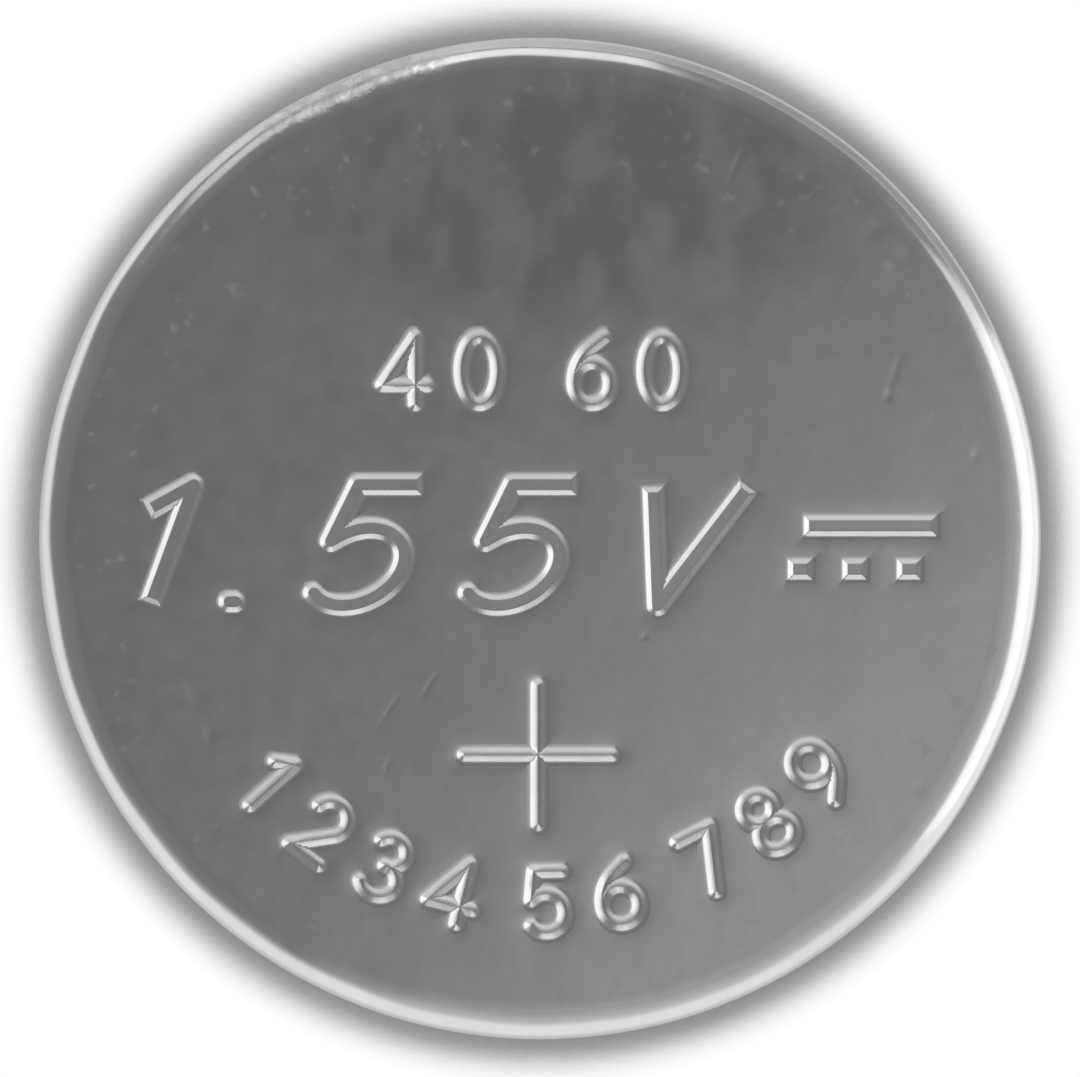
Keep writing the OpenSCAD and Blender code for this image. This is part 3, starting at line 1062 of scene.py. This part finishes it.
def add_flat(name, points, faces, material):
    """Adds a flat part of the stage."""
    mesh = make_mesh(name, points, faces)
    mesh.materials.append(material)
    flat = add_object(name, mesh)
    return flat


def make_card(name, start, end, material):
    """A card on the floor that the cell's edge reflects: part of a ring, between two angles in degrees.

    The camera doesn't see it, and it casts no shadow."""
    columns = 40
    r, a = np.array([[11.5 * MM], [120 * MM]]), np.radians(np.linspace(start, end, columns))
    card = add_flat(name, around(r, a, 0.05 * MM), grid_faces(2, columns)[:columns - 1], material)
    card.visible_camera = card.visible_shadow = False


def glowing_card_material():
    """White card, brightest at the right and no brighter than the floor at its ends."""
    material = bpy.data.materials.new("glowing_card")
    way = vector_maths("NORMALIZE", source(emptied(material), "TexCoord", "Object"))
    strength = spread(part_of(way, 0), math.cos(math.radians(40)), 1.0, 1.0, 1.2)
    glow = node("Emission", {"Color": grey(1.0), "Strength": strength})
    node("OutputMaterial", {0: glow.outputs[0]})
    return material


def make_world():
    """Surroundings: dim overhead, brighter to the right and the front, and pale along the horizon.

    The camera sees them plain white."""
    world = bpy.data.worlds.new("studio")
    bpy.context.scene.world = world
    tree = emptied(world)
    way = source(tree, "TexCoord", "Generated")

    def along(*direction):
        """How far the way seen runs along a direction."""
        return vector_maths("DOT_PRODUCT", way, direction)

    out = vector_maths("LENGTH", vector_maths("MULTIPLY", way, (1.0, 1.0, 0.0)))
    lean = sum_of(along(0.72, -0.69, 0.0), spread(out, 0.0, 1.0, 0.0, -0.33))
    facing = maths("DIVIDE", along(0.34, -0.94, 0.0), out)
    low_front = product_of(smooth(facing, -0.05, 0.85), smooth(out, 0.70, 0.95))
    front = maths("MAXIMUM", smooth(lean, -0.022, 0.068), low_front)
    front_glow = ramp(out, (0.0, 0.46), (0.1, 0.46), (0.4, 0.42), (0.74, 0.56), (0.86, 0.64),
                      (0.91, 0.72), (1.0, 1.0))
    back_glow = ramp(out, (0.0, 0.148), (0.06, 0.166), (0.45, 0.23), (0.75, 0.235), (0.95, 0.26))
    horizon = smooth(along(0.08, 0.30, 1.0), 0.22, -0.08)
    light = mixed(horizon, mixed(front, back_glow, front_glow), grey(1.0))
    surround = node("Background", {"Color": light})
    behind = node("Background", {"Color": grey(1.0)}, tree)
    finished("OutputWorld", source(tree, "LightPath", "Is Camera Ray"), surround, behind)


class CELL_OT_stage(bpy.types.Operator):
    """Sets the floor, the lamps, the surroundings and the camera."""

    bl_idname = "button_cell.stage"
    bl_label = "Stage"
    bl_options = {"REGISTER", "UNDO"}

    def execute(self, context):
        scene = context.scene
        looks, s = scene.cell_stage, scene.cell_sizes
        # Corners of a floor of a metre each way, just clear of the cell
        corners = around(math.sqrt(0.5), np.radians([225, 315, 45, 135]), -0.002 * MM)
        add_flat("floor", corners, np.array([[0, 1, 2, 3]]), floor_material(looks))
        make_world()
        # A grey card that puts painted shade into the edge's reflections at the upper right and the top
        make_card("painted_shade_card", 25, 140, material_of("painted_shade_card", painted_shade_grey))
        make_card("glowing_card", -40, 24, glowing_card_material())
        softbox("right_softbox", -1, 20, 0.20, 0.262, 0.16, 0.66)
        softbox("upper_softbox", 91, 22, 0.20, 0.104, 0.10, 0.84)
        softbox("upper_left_softbox", 119, 26, 0.20, 0.112, 0.096, 0.52)
        softbox("overhead_lamp", 0, 90, 0.30, 0.08, 0.08, 22.0, glossy=False)
        data = bpy.data.cameras.new("camera")
        data.lens, data.sensor_width, data.sensor_fit = looks.lens, 36.0, "HORIZONTAL"
        data.clip_start, data.clip_end = 1 * MM, 2.0
        half_width = data.sensor_width / 2 / data.lens
        camera = add_object("camera", data)
        camera.location = (0, 0, s.face_z - s.face_edge_r + s.can_r / (looks.fill * half_width))
        scene.camera = camera
        scene.view_settings.view_transform = "Standard"
        return {"FINISHED"}


# ---- add-on


GROUPS = {"cell_sizes": CellSizes, "cell_marks": MarkSizes, "cell_finishes": CellFinishes,
          "cell_stage": StageLooks}
PIECES = (CELL_OT_positive_can, CELL_OT_negative_cup, CELL_OT_sealing_gasket, CELL_OT_cathode,
          CELL_OT_separators, CELL_OT_zinc_anode, CELL_OT_stage)


class CELL_PT_panel(bpy.types.Panel):
    """Buttons that build the cell, and its settings."""

    bl_idname = "CELL_PT_panel"
    bl_label = "Button Cell"
    bl_space_type = "VIEW_3D"
    bl_region_type = "UI"
    bl_category = "Button Cell"

    def draw(self, context):
        layout = self.layout
        for piece in PIECES:
            layout.operator(piece.bl_idname)
        for name, group in GROUPS.items():
            box = layout.box()
            box.label(text=group.__doc__)
            for setting in group.__annotations__:
                box.prop(getattr(context.scene, name), setting)


CLASSES = (*GROUPS.values(), *PIECES, CELL_PT_panel)


def register():
    """Registers the classes and gives every scene the cell's settings."""
    for cls in CLASSES:
        bpy.utils.register_class(cls)
    for name, group in GROUPS.items():
        setattr(bpy.types.Scene, name, PointerProperty(type=group))


def unregister():
    """Takes the settings and the classes away again."""
    for name in GROUPS:
        delattr(bpy.types.Scene, name)
    for cls in reversed(CLASSES):
        bpy.utils.unregister_class(cls)


def main():
    """Registers the add-on, and builds every piece and the stage."""
    register()
    for piece in PIECES:
        getattr(bpy.ops.button_cell, piece.bl_idname.split(".")[1])()


if __name__ == "__main__":
    main()
